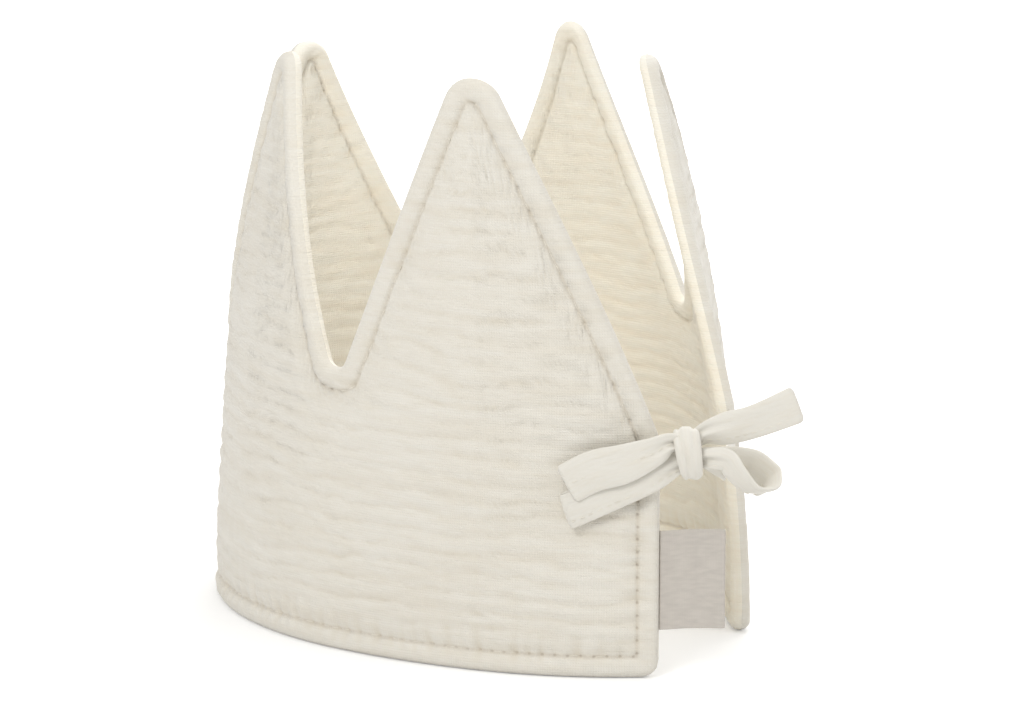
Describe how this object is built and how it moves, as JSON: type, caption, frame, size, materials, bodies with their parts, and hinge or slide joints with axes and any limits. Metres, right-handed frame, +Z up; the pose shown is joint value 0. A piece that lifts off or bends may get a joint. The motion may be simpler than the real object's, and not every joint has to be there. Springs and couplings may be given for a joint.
{
  "type": "fabric party crown",
  "caption": "Padded double gauze party crown for a baby: a hemmed band with rounded triangular points, open at one side and closed by fabric ties in a bow.",
  "frame": {"origin": "centre of the overall box in plan, at the level of the lower edge that the crown stands on", "axes": "+Z up; -Y towards the front point that faces the viewer; +X towards the open side with the bow"},
  "size_m": [0.1518, 0.1848, 0.143],
  "materials": {
    "crinkled_gauze": "matt crinkled double gauze cotton, cream",
    "tie_cotton": "smooth matt cotton, ivory",
    "label_ribbon": "fine woven ribbon, taupe"
  },
  "bodies": {
    "root": {"crown_band": "crinkled_gauze", "near_tie": "tie_cotton", "far_tie": "tie_cotton", "side_label": "label_ribbon"}
  },
  "joints": []
}
